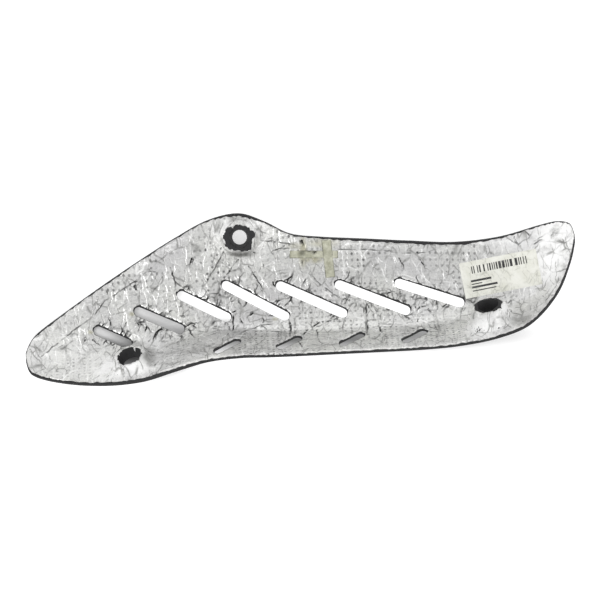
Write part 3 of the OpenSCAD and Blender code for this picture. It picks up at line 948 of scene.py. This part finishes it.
# Dirt where they cross, as middle, half sizes and strength in the photograph's frame.
tape_dirt = [((309, 250), (2.2, 2), 1.0), ((314, 252), (3, 2.2), 1.0), ((302, 252), (3, 4), 0.6)]
yellowed, tree, shader = finish_with("yellowed_tape")
place = add(tree, "ShaderNodeTexCoord").outputs["Object"]
mottle = noise(tree, place, 260.0, 5.0, 0.65)
edge_at = add(tree, "ShaderNodeAttribute", {"attribute_name": "edge"}).outputs["Fac"]
tone = blend(tree, ramp(tree, mottle, 0.35, 0.65), clear_tape, brown_tape)
dirty = maths(tree, "MULTIPLY", edge_at, ramp(tree, mottle, 0.36, 0.5))
feed(tree, shader, Base_Color=blend(tree, dirty, tone, dirt_tone), Roughness=0.36, Metallic=0.6)
emboss(tree, shader, mottle, 0.0002, 0.5)
for name, node, centre, size, angle, height in tapes:
    columns, rows = int(size[0] / tape_grid), int(size[1] / tape_grid)
    flat, u_at, d_at, edge = stuck_on(centre, size, angle, columns, rows)
    points = inner_face(u_at, d_at)
    points = points + facing(points) * (height + 0.05 * drift(points, 3.0, 45))[..., None]
    tape, at, cell = sheet_of(name, columns, rows, points)
    note(tape, "edge", np.clip(np.maximum(0.9 - edge / 0.6, spread(points, tape_dirt)), 0, 1)[at])
    thicken(tape, tape_thickness)
    tape.data.materials.append(yellowed)
    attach(tape, "root")
    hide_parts(node)


# Bench, light and camera
# A white bench with soft patches of shade and of light under the shield, a bright room with four
# softboxes, and a camera straight over the shield, as the photograph was taken.
bench_size, bench_drop = 6, 0.0002
unseen_room, seen_room = 0.74, 1.0
white_tone, shade_tone, unseen_tone = (1, 1, 1, 1), (0.05, 0.05, 0.05, 1), (0.72, 0.72, 0.72, 1)
# Soft ovals on the bench, in metres: middle, half sizes, softness of the edge, and strength.
hidden = [((-0.122, -0.026), (0.045, 0.021), 0.5, 1.0), ((0.0, -0.022), (0.11, 0.010), 0.8, 0.7)]
shady = [((-0.112, -0.037), (0.028, 0.012), 0.8, 0.9), ((0.005, -0.0240), (0.12, 0.0085), 0.6, 0.75),
         ((-0.11, -0.0185), (0.036, 0.015), 0.3, 0.3)]
lit = [((0.025, 0.004), (0.115, 0.028), 0.2, 0.85)]
# Each softbox has its name, place in metres, size and power.
softboxes = [
    ("left_softbox", (-1.2, -0.5, 1.2), 0.8, 8.0), ("far_softbox", (0.1, 1.4, 1.0), 1.7, 3.0),
    ("right_softbox", (1.3, 0.2, 1.0), 0.6, 4.0), ("near_softbox", (0.3, -1.5, 1.1), 0.6, 3.0)]
bpy.ops.object.select_all(action="DESELECT")
bpy.ops.mesh.primitive_plane_add(size=bench_size, location=(0, 0, -bench_drop))
floor = bpy.context.object
floor.name = "bench_top"
white, tree, shader = finish_with("white_bench")
path = add(tree, "ShaderNodeLightPath")
seen = maths(tree, "MAXIMUM", path.outputs["Is Camera Ray"], path.outputs["Is Glossy Ray"])
place = add(tree, "ShaderNodeTexCoord").outputs["Object"]


def spots(ovals):
    """The strongest of some soft-edged ovals at each point of the bench."""
    strongest = 0.0
    for (x, y), (half_x, half_y), soft, strength in ovals:
        laid = add(tree, "ShaderNodeMapping", Vector=place, Location=(-x / half_x, -y / half_y, 0),
                   Scale=(1 / half_x, 1 / half_y, 0)).outputs[0]
        far = add(tree, "ShaderNodeVectorMath", {"operation": "LENGTH"}, Vector=laid).outputs[1]
        oval = maths(tree, "MULTIPLY", ramp(tree, far, 1.0 + soft, 1.0 - soft), strength)
        strongest = maths(tree, "MAXIMUM", strongest, oval)
    return strongest


in_shade = spots(shady)
glow = maths(tree, "MAXIMUM", spots(lit), maths(tree, "MULTIPLY_ADD", spots(hidden), -0.5, 0.5))
glow = maths(tree, "MULTIPLY", glow, maths(tree, "MULTIPLY_ADD", in_shade, -1.0, 1.0))
top = blend(tree, in_shade, white_tone, shade_tone)
feed(tree, shader, Base_Color=blend(tree, seen, unseen_tone, top), Roughness=0.9, Specular_IOR_Level=0.1,
     Emission_Color=white_tone, Emission_Strength=maths(tree, "MULTIPLY", seen, glow))
floor.data.materials.append(white)

world = bpy.data.worlds.new("studio")
bpy.context.scene.world = world
world.use_nodes = True
tree = world.node_tree
backdrop = tree.nodes["Background"]
seen = add(tree, "ShaderNodeLightPath").outputs["Is Camera Ray"]
strength = add(tree, "ShaderNodeMix", {"data_type": "FLOAT"}, i0=seen, i2=unseen_room, i3=seen_room)
feed(tree, backdrop, Color=white_tone, Strength=strength.outputs[0])

for name, place, size, power in softboxes:
    lamp = bpy.data.lights.new(name, "AREA")
    lamp.size, lamp.energy = size, power
    holder = bpy.data.objects.new(name, lamp)
    bpy.context.collection.objects.link(holder)
    holder.location = place
    aim = -np.array(place) / np.linalg.norm(place)
    holder.rotation_euler = (math.acos(-aim[2]), 0, math.atan2(-aim[0], aim[1]))

lens = bpy.data.cameras.new("overhead_camera")
lens.sensor_width, lens.lens, lens.clip_end = 36, 18 * scale_reach / (300 * pixel), 20
camera = bpy.data.objects.new("overhead_camera", lens)
bpy.context.collection.objects.link(camera)
camera.location = (-0.0002, -0.0003, camera_height / 1000)
bpy.context.scene.camera = camera
bpy.context.scene.view_settings.view_transform = "Standard"
